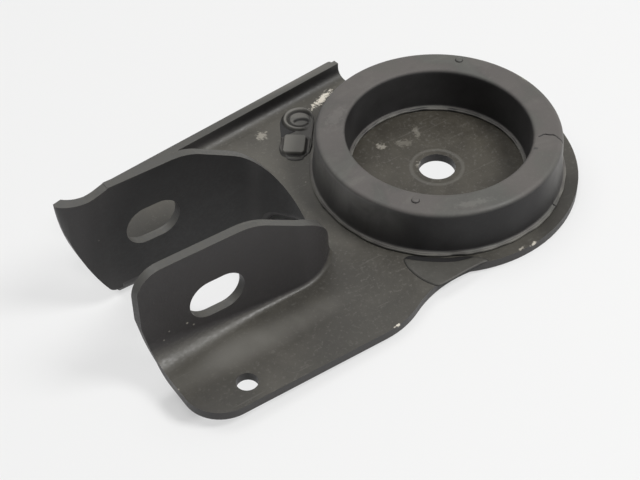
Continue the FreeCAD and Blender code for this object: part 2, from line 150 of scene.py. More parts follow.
steel = {
    # the dust colour also serves the painted highlights and sheen
    "dark": (0.040, 0.037, 0.031), "light": (0.074, 0.069, 0.058), "dustAndSheen": (0.128, 0.122, 0.109),
    "floor": (0.034, 0.030, 0.023), "floorLight": (0.050, 0.045, 0.035),      # inside the ring
    "floorEdge": (29.0, 29.6),               # radii over which that inner tone ends
    "wall": (0.030, 0.028, 0.029),           # cleaner and darker where it stands upright
    "cut": (0.056, 0.055, 0.051),            # the sheet's cut edges
    "rubbedAndLit": (0.27, 0.26, 0.235),
    "bare": (0.60, 0.56, 0.48),
    "rough": (0.40, 0.54), "bendRough": 0.49, "specular": 0.35,
    # noise: scale, detail, roughness, distortion
    "cloud": (24.0, 5.0, 0.62, 0.6), "patch": (95.0, 4.0, 0.6, 0.3), "grain": (900.0, 3.0, 0.7),
    "wave": (60.0, 2.0, 0.5), "fray": (700.0, 4.0, 0.7), "streak": (60.0, 2.0, 0.5, 0.2),
    # relief: strength, distance in metres
    "bossRelief": (0.4, 0.0003), "patchRelief": (0.25, 0.0003),
    "waveRelief": (0.2, 0.0010), "grainRelief": (0.35, 0.00008),
    # the span along x and y over which the gloss and the painted highlight of the front ear's foot set in
    "bendX": (-66.0, -82.0), "bendY": (-16.0, -22.0),      # over which the polish of the front ear's foot sets in
    # painted highlights: light bands along the front ear's foot and the flange's top: place, half size, degrees,
    # strength
    "highlightBands": [((-90.0, -31.2, 3.4), (36.0, 6.2, 7.0), 1, 0.92),
              ((-60.0, 59.6, 8.4), (100.0, 4.0, 3.0), 0, 1.0)],
    # where the tone is kept down: painted shade on the flange's inner face, on the back ear's inner wall and at
    # the gap's round end, and darker patches on the plate: place, half size, degrees, share of the tone that is
    # left
    "shadeAndGrime": [((-60.0, 57.5, 6.0), (78.0, 6.0, 6.5), 0, 0.28),
              ((-84.0, 18.0, 16.0), (36.0, 3.4, 36.0), 0, 0.25),
              ((-56.0, 8.0, 10.0), (8.5, 11.0, 20.0), 0, 0.45),
              ((22.0, -37.5, 3.0), (20.0, 7.0, 8.0), 33, 0.55),
              ((-112.0, -46.0, 3.0), (18.0, 9.0, 9.0), 12, 0.80),
              ((-58.0, -48.0, 3.0), (34.0, 10.0, 8.0), 4, 0.84)],
    # places rubbed to bare metal: place, half size, degrees, strength
    "chips": [((-11.6, 50.4, 3.0), (6.6, 1.5, 3.0), 22, 1.0),
              ((-52.1, -49.5, 3.0), (1.2, 0.5, 1.0), 4, 1.0),
              ((3.2, -45.8, 3.0), (1.6, 0.5, 0.8), 8, 0.8),
              ((-1.3, -45.4, 3.0), (1.3, 0.45, 0.8), 3, 0.5),
              ((-38.9, 45.8, 3.0), (2.6, 2.0, 1.0), 60, 0.30),
              ((-9.4, 18.7, 3.0), (2.2, 1.5, 1.0), 120, 0.30),
              ((-2.3, 15.9, 3.0), (3.6, 1.9, 1.0), -30, 0.11),
              ((4.6, 17.8, 3.0), (1.2, 4.4, 1.0), -20, 0.12),
              ((-4.4, 4.6, 2.4), (1.6, 1.1, 1.0), 45, 0.30)],
    "boss": (7.5, 8.3, 8.7, 9.5), "bossShare": 0.35,       # radii of the faint raised ring round the centre hole
    # scratches: degrees, and the level of the streaks above which they show; then how the streaks are drawn out
    "scratches": [(25, 0.70), (-38, 0.715), (80, 0.72)], "streakShape": (0.6, 14.0, 1.0),
    "speckScale": 210.0, "speckPatch": (41.0, 1.0), "speckShare": 0.35,
}


def steelFinishAndPaintedLight(name, rubbedLitEdge):
    s = Shade(name)
    cloud = s.noise(*steel["cloud"])
    patch = s.noise(*steel["patch"])
    grain = s.noise(*steel["grain"])
    cutFace = s.attribute("cutFace")
    fromAxis = s.away((0, 0, 3))
    tone = s.mix(s.ramp(cloud, 0.3, 0.72), steel["dark"], steel["light"])
    tone = s.mix(s.ramp(patch, 0.45, 0.75, 0.0, 0.45), tone, steel["light"])
    # the coating inside the ring is browner
    inside = s.ramp(fromAxis, *steel["floorEdge"], 1.0, 0.0)
    tone = s.mix(inside, tone, s.mix(s.ramp(patch, 0.3, 0.7), steel["floor"], steel["floorLight"]))
    rise, fall = steel["boss"][:2], steel["boss"][2:]
    boss = s.math("MULTIPLY", s.ramp(fromAxis, *rise), s.ramp(fromAxis, *fall, 1.0, 0.0))
    tone = s.mix(s.math("MULTIPLY", boss, steel["bossShare"]), tone, steel["dustAndSheen"])
    # upright faces hold no dust
    tone = s.mix(s.ramp(s.upward, 0.25, 0.92, 0.9, 0.0), tone, steel["wall"])
    dusty = s.math("MULTIPLY", s.ramp(grain, 0.52, 0.75), s.ramp(s.upward, 0.4, 0.95, 0.1, 0.45))
    tone = s.mix(dusty, tone, steel["dustAndSheen"])
    # the front ear's foot is glossier along its bend, up to where the bend tightens, and its tone is lightened
    # there as a painted highlight
    onBend = s.math("MULTIPLY", s.ramp(s.upward, 0.35, 0.75), s.ramp(s.upward, 0.90, 0.995, 1.0, 0.0))
    along, across = ([c * mm for c in steel[key]] for key in ("bendX", "bendY"))
    onBend = s.math("MULTIPLY", onBend, s.math("MULTIPLY", s.ramp(s.x, *along), s.ramp(s.y, *across)))
    tone = s.mix(s.math("MULTIPLY", onBend, s.ramp(patch, 0.3, 0.65, 0.0, 0.2)), tone, steel["dustAndSheen"])
    # cut edges that face up are lighter
    cut = s.math("MULTIPLY", cutFace, s.ramp(s.upward, 0.15, 0.8, 0.12, 1.0))
    tone = s.mix(s.math("MULTIPLY", cut, s.ramp(grain, 0.35, 0.65, 0.45, 1.0)), tone, steel["cut"])
    # painted highlights along the front ear's foot and the flange's top
    for place, half, turn, strength in steel["highlightBands"]:
        highlight = s.math("MULTIPLY", s.ramp(s.away(place, half, turn), 0.15, 1.15, strength, 0.0),
                      s.ramp(patch, 0.25, 0.7, 0.7, 1.0))
        tone = s.mix(highlight, tone, steel["dustAndSheen"])
    # painted shade in the first three places, darker patches on the plate in the rest
    for place, half, turn, left in steel["shadeAndGrime"]:
        shadeAndGrime = s.math("MULTIPLY", s.ramp(s.away(place, half, turn), 0.62, 1.12, 1.0, 0.0),
                       s.math("SUBTRACT", 1.0, cutFace))
        tone = s.mix(shadeAndGrime, tone, (left,) * 3, "MULTIPLY")
    # the rounded edges are lighter, most where they face up: wear, and a painted highlight along them
    if rubbedLitEdge:
        wear = s.math("MULTIPLY", s.ramp(patch, 0.34, 0.58, 0.3, 1.0), s.ramp(grain, 0.36, 0.58, 0.4, 1.0))
        tone = s.mix(s.math("MULTIPLY", wear, s.ramp(s.upward, 0.0, 0.6, 0.15, 0.85)), tone, steel["rubbedAndLit"])
    # thin scratches that run along and across the plate
    for turn, low in steel["scratches"]:
        streak = s.noise(*steel["streak"], s.stretched(turn, steel["streakShape"]))
        streak = s.math("MULTIPLY", s.ramp(streak, low, low + 0.03, 0.0, 0.22), s.ramp(s.upward, 0.8, 0.97))
        tone = s.mix(streak, tone, steel["dustAndSheen"])
    # sparse specks of bare metal
    speck = s.math("MULTIPLY", s.ramp(s.specks(steel["speckScale"]), 0.04, 0.10, 1.0, 0.0),
                   s.ramp(s.noise(*steel["speckPatch"]), 0.62, 0.66))
    bare = s.math("MULTIPLY", speck, steel["speckShare"])
    fray = s.ramp(s.noise(*steel["fray"]), 0.2, 0.8, -0.75, 0.75)
    for place, half, turn, strength in steel["chips"]:
        mark = s.ramp(s.math("ADD", s.away(place, half, turn), fray), 0.45, 1.05, strength, 0.0)
        bare = s.math("MAXIMUM", bare, mark)
    tone = s.mix(bare, tone, steel["bare"])
    s.put(s.shader, "Base Color", tone)
    rough = s.math("ADD", s.ramp(cloud, 0.3, 0.75, *steel["rough"]), s.ramp(grain, 0.3, 0.7, -0.05, 0.08))
    rough = s.math("ADD", rough, s.math("MULTIPLY", onBend, steel["bendRough"] - steel["rough"][1]))
    s.put(s.shader, "Roughness", rough)
    uneven = s.bump(s.noise(*steel["wave"]), *steel["waveRelief"])
    uneven = s.bump(boss, *steel["bossRelief"], s.bump(patch, *steel["patchRelief"], uneven))
    s.put(s.shader, "Normal", s.bump(grain, *steel["grainRelief"], uneven))
    s.shader.inputs["Specular IOR Level"].default_value = steel["specular"]
    return s.mat


rubber = {
    "black": (0.0110, 0.0104, 0.0106), "worn": (0.026, 0.025, 0.025), "sideLightAndDust": (0.230, 0.224, 0.212),
    # the dust colour also serves the painted highlight on the lug's disc
    "top": (0.085, 0.081, 0.073), "topDark": (0.060, 0.057, 0.053), "dustAndSheen": (0.128, 0.123, 0.110),
    "warm": (0.094, 0.084, 0.080), "cool": (0.088, 0.091, 0.082),
    "low": (0.046, 0.044, 0.038),            # the thin tongue at the front, as grimy as the plate
    "rough": (0.50, 0.66), "specular": 0.3,
    # noise: scale, detail, roughness, distortion
    "cloud": (38.0, 5.0, 0.6, 0.4), "patch": (150.0, 4.0, 0.6), "grain": (1100.0, 3.0, 0.7),
    "smear": (70.0, 4.0, 0.6, 0.5), "tint": (52.0, 3.0, 0.5, 0.8), "fray": (600.0, 4.0, 0.7),
    "smearTurn": 35, "smearShape": (0.8, 1.7, 1.0),
    "patchRelief": (0.25, 0.0003), "grainRelief": (0.30, 0.00008),      # strength, distance in metres
    "outside": (37.0, 38.5),                 # distances from the ring's middle over which its outer wall starts
    # scuffs: place, half size, degrees, colour, strength
    "scuffs": [((38.9, 5.4, 19.0), (2.4, 1.0, 1.2), 82, (0.26, 0.28, 0.21), 0.55),
               ((19.6, -24.9, 19.2), (1.0, 0.8, 1.0), 0, (0.03, 0.03, 0.03), 0.8),
               ((-24.0, 24.0, 19.2), (6.0, 2.6, 2.0), 30, (0.16, 0.15, 0.14), 0.25),
               ((-12.0, -33.5, 19.2), (7.0, 1.6, 2.0), -18, (0.17, 0.165, 0.15), 0.30)],
}


def rubberFinishAndPaintedLight():
    s = Shade("moulded_rubber")
    cloud = s.noise(*rubber["cloud"])
    patch = s.noise(*rubber["patch"])
    grain = s.noise(*rubber["grain"])
    smear = s.noise(*rubber["smear"], s.stretched(rubber["smearTurn"], rubber["smearShape"]))
    tint = s.noise(*rubber["tint"])
    wall = s.mix(s.ramp(cloud, 0.35, 0.75), rubber["black"], rubber["worn"])
    # the outer wall is lighter towards its two ends and its top: on the end facing +X this is painted light,
    # where the lamp falls from the right, and towards -X a lighter tone
    outside = s.ramp(s.away((0, 0, 12)), *rubber["outside"])
    ends = s.math("MAXIMUM", s.ramp(s.sideward, 0.15, 0.95), s.ramp(s.sideward, -0.70, -1.0, 0.0, 0.7))
    ends = s.math("MULTIPLY", s.math("MULTIPLY", ends, outside), s.ramp(s.z, 0.005, 0.018, 0.25, 1.0))
    wall = s.mix(s.math("MULTIPLY", ends, s.ramp(smear, 0.3, 0.7, 0.6, 1.0)), wall, rubber["sideLightAndDust"])
    top = s.mix(s.ramp(cloud, 0.3, 0.72), rubber["topDark"], rubber["top"])
    top = s.mix(s.ramp(tint, 0.40, 0.60, 0.0, 0.55), top, rubber["warm"])
    top = s.mix(s.ramp(tint, 0.52, 0.36, 0.0, 0.40), top, rubber["cool"])
    top = s.mix(s.ramp(smear, 0.50, 0.75, 0.0, 0.40), top, rubber["dustAndSheen"])
    top = s.mix(s.ramp(patch, 0.55, 0.8, 0.0, 0.4), top, rubber["topDark"])
    tongue = s.mix(s.ramp(patch, 0.3, 0.7, 0.0, 0.35), rubber["low"], rubber["top"])
    top = s.mix(s.attribute("coated"), top, tongue)
    # dust lies on what faces up
    tone = s.mix(s.ramp(s.upward, 0.25, 0.9), wall, top)
    tone = s.mix(s.math("MULTIPLY", s.ramp(grain, 0.55, 0.75), s.ramp(s.upward, 0.2, 0.9, 0.04, 0.3)),
                 tone, rubber["dustAndSheen"])
    fray = s.ramp(s.noise(*rubber["fray"]), 0.2, 0.8, -0.6, 0.6)
    for place, half, turn, colour, strength in rubber["scuffs"]:
        mark = s.ramp(s.math("ADD", s.away(place, half, turn), fray), 0.4, 1.1, strength, 0.0)
        tone = s.mix(mark, tone, colour)
    # cracks, slits, grooves, hollows and the pips' skirts are painted near-black as shade in them; the dark lines
    # round the lug and the tongue use the same mark
    tone = s.mix(s.attribute("hollowShade"), tone, rubber["black"])
    # lighter where marked: the lip's crest, the lug's rims and pad, and a painted highlight on the upper side of
    # the lug's disc
    tone = s.mix(s.attribute("rubbedAndLit"), tone, rubber["dustAndSheen"])
    s.put(s.shader, "Base Color", tone)
    s.put(s.shader, "Roughness", s.ramp(cloud, 0.3, 0.75, *rubber["rough"]))
    uneven = s.bump(patch, *rubber["patchRelief"])
    s.put(s.shader, "Normal", s.bump(grain, *rubber["grainRelief"], uneven))
    s.shader.inputs["Specular IOR Level"].default_value = rubber["specular"]
    return s.mat


def addObject(name, data):
    added = bpy.data.objects.new(name, data)
    bpy.context.scene.collection.objects.link(added)
    return added


def meshOf(name, shells):
    # each shell is (points n by 3 in millimetres, quads m by 4, values of the painted hollow shade, of the rubbed
    # and lit lighter marks, and of coated)
    points, quads, start = [], [], 0
    marks = {"hollowShade": [], "rubbedAndLit": [], "coated": []}
    for shell in shells:
        points.append(shell[0])
        quads.append(shell[1] + start)
        for values, value in zip(marks.values(), shell[2:]):
            values.append(np.broadcast_to(value, len(shell[0])))
        start += len(shell[0])
    points, quads = np.concatenate(points), np.concatenate(quads)
    mesh = bpy.data.meshes.new(name)
    mesh.vertices.add(len(points))
    mesh.vertices.foreach_set("co", (points * mm).astype(np.float32).ravel())
    mesh.loops.add(quads.size)
    mesh.loops.foreach_set("vertex_index", quads.astype(np.int32).ravel())
    mesh.polygons.add(len(quads))
    mesh.polygons.foreach_set("loop_start", np.arange(0, quads.size, 4, dtype=np.int32))
    mesh.polygons.foreach_set("use_smooth", np.ones(len(quads), bool))
    for key, values in marks.items():
        layer = mesh.attributes.new(key, "FLOAT", "POINT")
        layer.data.foreach_set("value", np.concatenate(values).astype(np.float32))
    mesh.update(calc_edges=True)
    mesh.validate()
    return mesh


def gridQuads(rows, columns, roundColumns=False):
    # the faces of a grid of points numbered row by row: its last row joins the first, and its columns do if asked
    i = np.arange(rows)[:, None]
    j = np.arange(columns if roundColumns else columns - 1)[None, :]
    a = i * columns + j
    b = ((i + 1) % rows) * columns + j
    c = ((i + 1) % rows) * columns + (j + 1) % columns
    d = i * columns + (j + 1) % columns
    return np.stack([a, b, c, d], -1).reshape(-1, 4)


def fade(t):
    # smooth step from 0 to 1
    t = np.clip(t, 0, 1)
    return t * t * (3 - 2 * t)


def ripple(angle, seed, first, last, fall=1.0):
    # an even, repeatable unevenness round a circle: a sum of waves with fixed phases
    total = np.zeros_like(angle)
    for n in range(first, last + 1):
        phase = math.sin(seed * 12.9898 + n * 78.233) * 43758.5453
        total += np.sin(n * angle + 2 * math.pi * (phase - math.floor(phase))) / n ** fall
    return total


ring = {
    "base": 3.0, "rise": 16.2, "outer": 40.0, "inner": 30.0, "taper": 0.7, "innerTaper": 0.5,
    "outerRound": 1.9, "innerRound": 1.5,
    "beadWide": 1.4, "beadHigh": 1.15, "foot": 2.2,          # thin lip round the foot
    "innerBead": 1.0, "innerFoot": 1.6,
    "turns": 560,
    # degrees, the radii it runs between, half width and depth; the upper one bows with the square of the radius
    "crack": {"at": -39.0, "from": 31.2, "to": 39.9, "wide": 0.30, "deep": 0.55,
              "middle": 35.0, "bend": 0.21, "sway": 0.3, "swayRate": 2.1},
    "footCrack": {"at": -63.0, "from": 40.4, "wide": 0.35, "deep": 0.5},
    # unevenness round the ring: seed, first and last wave, how fast the shorter waves fade
    "waves": {"lip": (3, 5, 40, 0.6), "lipTop": (5, 3, 34, 0.5), "innerLip": (9, 4, 40, 0.6), "top": (2, 2, 9),
              "wall": (7, 2, 7), "rubbedAndLit": (11, 6, 48, 0.5), "innerRubbed": (13, 5, 40, 0.5)},
    "pips": [(26.9, 24.5), (-25.9, -22.6)], "pipRadius": 1.4, "pipRise": 0.6,
}


def arc(centre, radius, start, end, count):
    # points of a profile round a centre, angles in degrees
    t = np.radians(np.linspace(start, end, count))
    return np.stack([centre[0] + radius * np.cos(t), centre[1] + radius * np.sin(t)], -1)


def straight(a, b, count):
    t = np.linspace(0, 1, count)[:, None]
    return np.array(a) * (1 - t) + np.array(b) * t


def ringProfile():
    # the section, anticlockwise from the inner foot: flat underside, lip, hollow foot, wall, rounded top, and
    # down the inner wall to its own foot and lip
    r = ring
    wallFoot = r["outer"] + r["taper"]
    lip = wallFoot + r["beadWide"]
    innerFoot = r["inner"] - r["innerTaper"]
    innerLip = innerFoot - r["innerBead"]
    top, o, n = r["rise"], r["outerRound"], r["innerRound"]
    half = r["beadHigh"] / 2
    parts = [straight((innerLip, -0.04), (lip - half, -0.04), 4),
             arc((lip - half, half), half, -80, 80, 9),
             arc((wallFoot + r["foot"] * 0.42, r["beadHigh"] + r["foot"] * 0.42), r["foot"] * 0.42, -88, -180, 9),
             straight((wallFoot - 0.03, r["beadHigh"] + r["foot"]), (r["outer"] + 0.02, top - o - 0.3), 14),
             arc((r["outer"] - o, top - o), o, 0, 90, 12),
             straight((r["outer"] - o - 0.4, top), (r["inner"] + n + 0.4, top), 26),
             arc((r["inner"] + n, top - n), n, 90, 180, 10),
             straight((r["inner"] - 0.02, top - n - 0.3), (innerFoot + 0.02, r["innerFoot"] + 0.9), 12),
             arc((innerFoot - 0.8, r["innerFoot"] + 0.4), 0.8, 0, -88, 7),
             arc((innerLip + 0.1, 0.45), 0.35, 90, 200, 6)]
    return np.concatenate(parts)


def arcGap(angle, at, radius):
    # distance along the arc from one angle to the other, the short way round
    return np.abs((angle - at + math.pi) % (2 * math.pi) - math.pi) * radius


def ringShell():
    # (angle, step along the section) -> radius and height of the section, with a slow unevenness round it;
    # the crack is a narrow V across the top, at an angle that changes with the square of the radius
    r, waves = ring, ring["waves"]
    turn = np.linspace(0, 2 * math.pi, r["turns"], endpoint=False)
    for mark in (r["crack"], r["footCrack"]):       # closer steps near the cracks
        near = math.radians(mark["at"]) % (2 * math.pi)
        turn = np.concatenate([turn, near + np.radians(np.linspace(-4.5, 4.5, 61))])
    turn = np.unique(np.round(turn % (2 * math.pi), 5))
    section = ringProfile()
    a = turn[:, None] + np.zeros(len(section))
    radius, height = section[:, 0] + 0 * a, section[:, 1] + 0 * a
    # the lip is uneven, most of all outside
    lipPart = fade((radius - r["outer"] - 0.8) / 1.0) * (height < 2.2)
    radius = radius - lipPart * np.clip(0.16 + 0.10 * ripple(a, *waves["lip"]), 0, 0.6)
    height = height + lipPart * (height > 0.3) * 0.05 * ripple(a, *waves["lipTop"])
    innerPart = fade((r["inner"] - 0.9 - radius) / 0.6) * (height > 0.2)
    height = height + innerPart * (0.15 + 0.10 * ripple(a, *waves["innerLip"]))
    # the top sags a little here and there, and the walls are drawn in by a hair
    height = height - fade((height - 13) / 3) * np.clip(0.04 + 0.03 * ripple(a, *waves["top"]), 0, 0.12)
    outward = np.sign(radius - (r["outer"] + r["inner"]) / 2)
    radius = radius - fade((height - 3) / 4) * 0.05 * (1 + 0.5 * ripple(a, *waves["wall"])) * outward
    mark = r["crack"]
    path = mark["at"] - mark["bend"] * (radius - mark["middle"]) ** 2
    path = np.radians(path + mark["sway"] * np.sin((radius - r["inner"]) * mark["swayRate"]))
    onTop = fade((height - r["rise"] + 3.2) / 2)
    onTop = onTop * fade((radius - mark["from"]) / 1.2) * fade((mark["to"] - radius) / 0.6)
    crack = np.clip(1 - arcGap(a, path, radius) / mark["wide"], 0, 1) * onTop
    height = height - mark["deep"] * crack
    mark = r["footCrack"]
    foot = np.clip(1 - arcGap(a, math.radians(mark["at"]), radius) / mark["wide"], 0, 1)
    foot = foot * fade((radius - mark["from"]) / 0.5) * (height > 0.3) * (height < 4)
    height = height - mark["deep"] * foot
    # the cracks are painted dark as shade in them
    hollowShade = np.maximum(fade(crack * 1.6), fade(foot * 1.6))
    # a faint lighter line along the lip's crest
    rubbedAndLit = lipPart * (height > 0.5) * np.clip(0.7 + 0.4 * ripple(a, *waves["rubbedAndLit"]), 0.1, 1.0)
    rubbedAndLit = np.maximum(rubbedAndLit, innerPart * np.clip(0.5 + 0.3 * ripple(a, *waves["innerRubbed"]), 0, 0.9))
    points = np.stack([radius * np.cos(a), radius * np.sin(a), height + r["base"]], -1).reshape(-1, 3)
    return points, gridQuads(len(turn), len(section), True), hollowShade.ravel(), rubbedAndLit.ravel(), 0.0


def closedDisc(x, y, z, top, under):
    # a grid (turn, step outwards), closed by one point over its inmost ring and one under its outmost;
    # pairs of neighbours share one quad with that point
    turns, steps = x.shape
    i = np.arange(0, turns, 2)
    a, b, c = i * steps, (i + 1) * steps, ((i + 2) % turns) * steps
    lid = np.stack([np.full_like(i, x.size), a, b, c], -1)
    sole = np.stack([np.full_like(i, x.size + 1), c + steps - 1, b + steps - 1, a + steps - 1], -1)
    points = np.concatenate([np.stack([x, y, z], -1).reshape(-1, 3), [top, under]])
    return points, np.concatenate([gridQuads(turns, steps)[:, ::-1], lid, sole])


def domeShell(x, y):
    # (angle, t) -> a low round nub: its height is (1 - t^4), and its skirt runs below the ring's top
    a, t = np.meshgrid(np.linspace(0, 2 * math.pi, 28, endpoint=False), np.linspace(0.02, 1, 14), indexing="ij")
    high = np.where(t > 0.999, -0.5, ring["pipRise"] * (1 - t ** 4))
    radius = ring["pipRadius"] * t
    base = ring["base"] + ring["rise"] - 0.03
    points, quads = closedDisc(x + radius * np.cos(a), y + radius * np.sin(a), base + high,
                               (x, y, base + ring["pipRise"]), (x, y, base - 0.5))
    # the nub's skirt is painted dark as shade
    side = fade((t - 0.72) / 0.2) * 0.9
    return points, quads, np.append(side.ravel(), [0, 0]), 0.0, 0.0


backLug = {
    "middle": (-28.6, 40.6), "rows": 150, "rings": 80,
    # outline of the rubber that shows through the plate, two lobes
    "outline": [(-27.6, 50.6), (-24.4, 51.4), (-21.4, 50.9), (-19.5, 48.9), (-19.0, 45.6), (-20.4, 41.9),
                (-23.2, 38.2), (-26.0, 34.6), (-28.4, 31.4), (-31.4, 28.9), (-34.9, 28.1), (-37.8, 30.0),
                (-38.9, 33.2), (-38.0, 36.6), (-35.4, 39.6), (-33.7, 42.4), (-31.9, 45.7), (-30.0, 48.5)],
    "lobe": (-24.3, 45.1), "lobeTurn": 35, "lobeRim": 5.0, "rimWide": 0.62, "rimHigh": 0.95,
    "groove": 4.15, "grooveWide": 0.30, "grooveDeep": 0.45, "discHigh": 0.55,
    "crescent": (-24.2, 44.2), "crescentRadius": 2.9, "crescentTurn": -30, "crescentDeep": 1.1,
    "crescentBow": 3.0, "crescentWide": 0.62,
    "slitFrom": 5.75, "slitEdge": (-27.0, 40.6),           # dark slit along the upper lobe's left side
    "pad": (-33.0, 35.0), "padHalf": (3.8, 4.6), "padTurn": -38, "padHigh": 1.35, "padCorner": 1.2,
    "gutter": 0.75, "gutterWide": 0.50, "gutterDeep": 0.5,
    "base": 0.35, "edgeRim": 0.925, "edgeRimWide": 0.030, "edgeRimHigh": 0.30,
}


def smoothLoop(points, count):
    # a closed curve through the points, parameter even in the number of points: cubic between neighbours
    p = np.array(points, float)
    t = np.linspace(0, len(p), count, endpoint=False)
    i = np.floor(t).astype(int)
    f = (t - i)[:, None]
    a, b, c, d = (p[(i + k) % len(p)] for k in (-1, 0, 1, 2))
    return 0.5 * (2 * b + (c - a) * f + (2 * a - 5 * b + 4 * c - d) * f ** 2 + (3 * b - a - 3 * c + d) * f ** 3)


def turned(x, y, centre, degrees):
    c, s = math.cos(math.radians(degrees)), math.sin(math.radians(degrees))
    dx, dy = x - centre[0], y - centre[1]
    return c * dx + s * dy, -s * dx + c * dy


def boxDistance(x, y, centre, half, degrees, corner):
    # distance to a rounded rectangle, negative inside
    u, v = turned(x, y, centre, degrees)
    qx, qy = np.abs(u) - half[0] + corner, np.abs(v) - half[1] + corner
    return np.hypot(np.maximum(qx, 0), np.maximum(qy, 0)) + np.minimum(np.maximum(qx, qy), 0) - corner


def drawnIn(g):
    # (turn, t) -> middle + (outline - middle) * t, with t from nearly 0 in the middle to 1 on the outline
    edge = smoothLoop(g["outline"], g["rows"])
    t = np.linspace(0.02, 1, g["rings"])[None, :, None]
    middle = np.array(g["middle"])
    flat = middle + (edge[:, None, :] - middle) * t
    x, y = flat[..., 0], flat[..., 1]
    return x, y, t[..., 0] + 0 * x


def onPlate(x, y, height):
    # the surface of a lug from its height above the plate, closed in the middle and underneath
    z = ring["base"] + height
    middle = [grid[:, 0].mean() for grid in (x, y, z)]
    return closedDisc(x, y, z, middle, (*middle[:2], ring["base"] - 0.05))


def lugShell():
    # the height over the drawn-in outline adds a low base, a raised rim round the upper lobe with a
    # sickle-shaped hollow in it, and a raised pad with a gutter round two sides
    g = backLug
    x, y, t = drawnIn(g)
    height = g["base"] * fade((1 - t) / 0.05) + 0.02
    # rim round the upper lobe, open towards the pad
    away = np.hypot(x - g["lobe"][0], y - g["lobe"][1])
    v = turned(x, y, g["lobe"], g["lobeTurn"])[1]
    side = fade((v + 4.4) / 2.2)
    rim = np.exp(-((away - g["lobeRim"]) / g["rimWide"]) ** 4) * side
    height = height + g["rimHigh"] * rim
    rubbedAndLit = 0.85 * rim
    groove = np.exp(-((away - g["groove"]) / g["grooveWide"]) ** 2) * fade((v + 3.4) / 2.2)
    height = height - g["grooveDeep"] * groove
    # the groove is painted dark as shade
    hollowShade = 0.85 * groove
    # disc inside the rim, with the sickle cut out of its lower side
    disc = fade((g["groove"] - 0.4 - away) / 0.6)
    height = height + g["discHigh"] * disc
    u, v = turned(x, y, g["crescent"], g["crescentTurn"])
    bow = np.hypot(u, (v + 2.2) * 1.05) - g["crescentBow"]
    sickle = np.exp(-(bow / g["crescentWide"]) ** 2)
    sickle = sickle * fade((g["crescentRadius"] - np.abs(u)) / 0.8) * fade((v + 1.2) / 0.8)
    height = height - g["crescentDeep"] * sickle
    # the sickle is painted dark as shade; the disc's upper side is painted lighter as a highlight
    hollowShade = np.maximum(hollowShade, sickle)
    rubbedAndLit = np.maximum(rubbedAndLit, 0.5 * disc * fade((v - 1.2) / 0.8) * (1 - sickle))
    # the slit on the left of the upper lobe, painted dark as shade
    left, low = g["slitEdge"]
    slit = fade((away - g["slitFrom"]) / 0.3) * fade((left - x) / 1.2) * fade((y - low) / 1.0)
    height = height * (1 - 0.95 * slit)
    hollowShade = np.maximum(hollowShade, 0.97 * slit)
    # the lower pad
    gap = boxDistance(x, y, g["pad"], g["padHalf"], g["padTurn"], g["padCorner"])
    pad = fade(-gap / 0.55 + 0.3)
    height = height * (1 - pad) + (g["base"] + g["padHigh"]) * pad
    hollowShade, rubbedAndLit = hollowShade * (1 - pad), np.maximum(rubbedAndLit * (1 - pad), 0.90 * pad)
    u, v = turned(x, y, g["pad"], g["padTurn"])
    # the gutter runs round the pad's two shaded sides and is painted dark as shade
    shaded = fade((u - v * 0.8 + 0.2) / 2.0)
    gutter = np.exp(-((gap - g["gutter"]) / g["gutterWide"]) ** 2) * shaded
    height = height - g["gutterDeep"] * gutter
    hollowShade = np.maximum(hollowShade, 0.97 * gutter)
    # a thin rim round the lower lobe, then the dark line where the rubber meets the plate
    outer = np.exp(-((t - g["edgeRim"]) / g["edgeRimWide"]) ** 2) * (1 - slit)
    height = height + g["edgeRimHigh"] * outer
    rubbedAndLit = np.maximum(rubbedAndLit, 0.30 * outer)
    hollowShade = np.maximum(hollowShade, 0.85 * fade((t - 0.965) / 0.02))
    height = np.maximum(height, -0.02) * (t < 0.999) - 0.03 * (t >= 0.999)
    points, quads = onPlate(x, y, height)
    return points, quads, np.append(hollowShade.ravel(), [0, 0]), np.append(rubbedAndLit.ravel(), [0, 0]), 0.0


flap = {
    "rows": 120, "rings": 40,
    "outline": [(-34.0, -28.0), (-35.2, -31.1), (-35.4, -34.0), (-35.1, -37.3), (-34.1, -40.6), (-32.3, -43.5),
                (-29.5, -44.0), (-25.2, -43.9), (-20.9, -43.7), (-16.7, -43.7), (-12.6, -43.5),
                (-16.6, -38.7), (-22.0, -35.8), (-27.0, -32.2), (-31.0, -28.4)],
    "middle": (-28.4, -38.0), "rise": 0.45,
    "slit": 2.3, "slitFrom": -9.0, "slitLong": 14.0,       # its widest, where along x it starts, over what length
}


def flapShell():
    # the height over the drawn-in outline: the tongue is nearly flat and dips along the ring's foot
    g = flap
    x, y, t = drawnIn(g)
    height = g["rise"] * fade((1 - t) / 0.10)
    toRing = np.hypot(x, y) - ring["outer"] - ring["taper"] - ring["beadWide"]
    # the slit beside the ring is widest at its left end, and is painted dark as shade
    slit = fade((g["slit"] * fade((g["slitFrom"] - x) / g["slitLong"]) - toRing) / 0.5)
    height = height * (1 - 0.92 * slit)
    hollowShade = np.maximum(slit, 0.9 * fade((t - 0.955) / 0.025))
    height = np.where(t > 0.999, -0.03, height + 0.02)
    points, quads = onPlate(x, y, height)
    return points, quads, np.append(hollowShade.ravel(), [0, 0]), 0.0, 1.0


def makeRing():
    shells = [ringShell(), lugShell(), flapShell()] + [domeShell(*p) for p in ring["pips"]]
    piece = addObject("rubber_ring_moulded", meshOf("rubber_ring_moulded", shells))
    piece.data.materials.append(rubberFinishAndPaintedLight())
    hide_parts("rubber_ring")
    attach(piece, "root")
    print("rubber ring made,", len(piece.data.polygons), "faces")


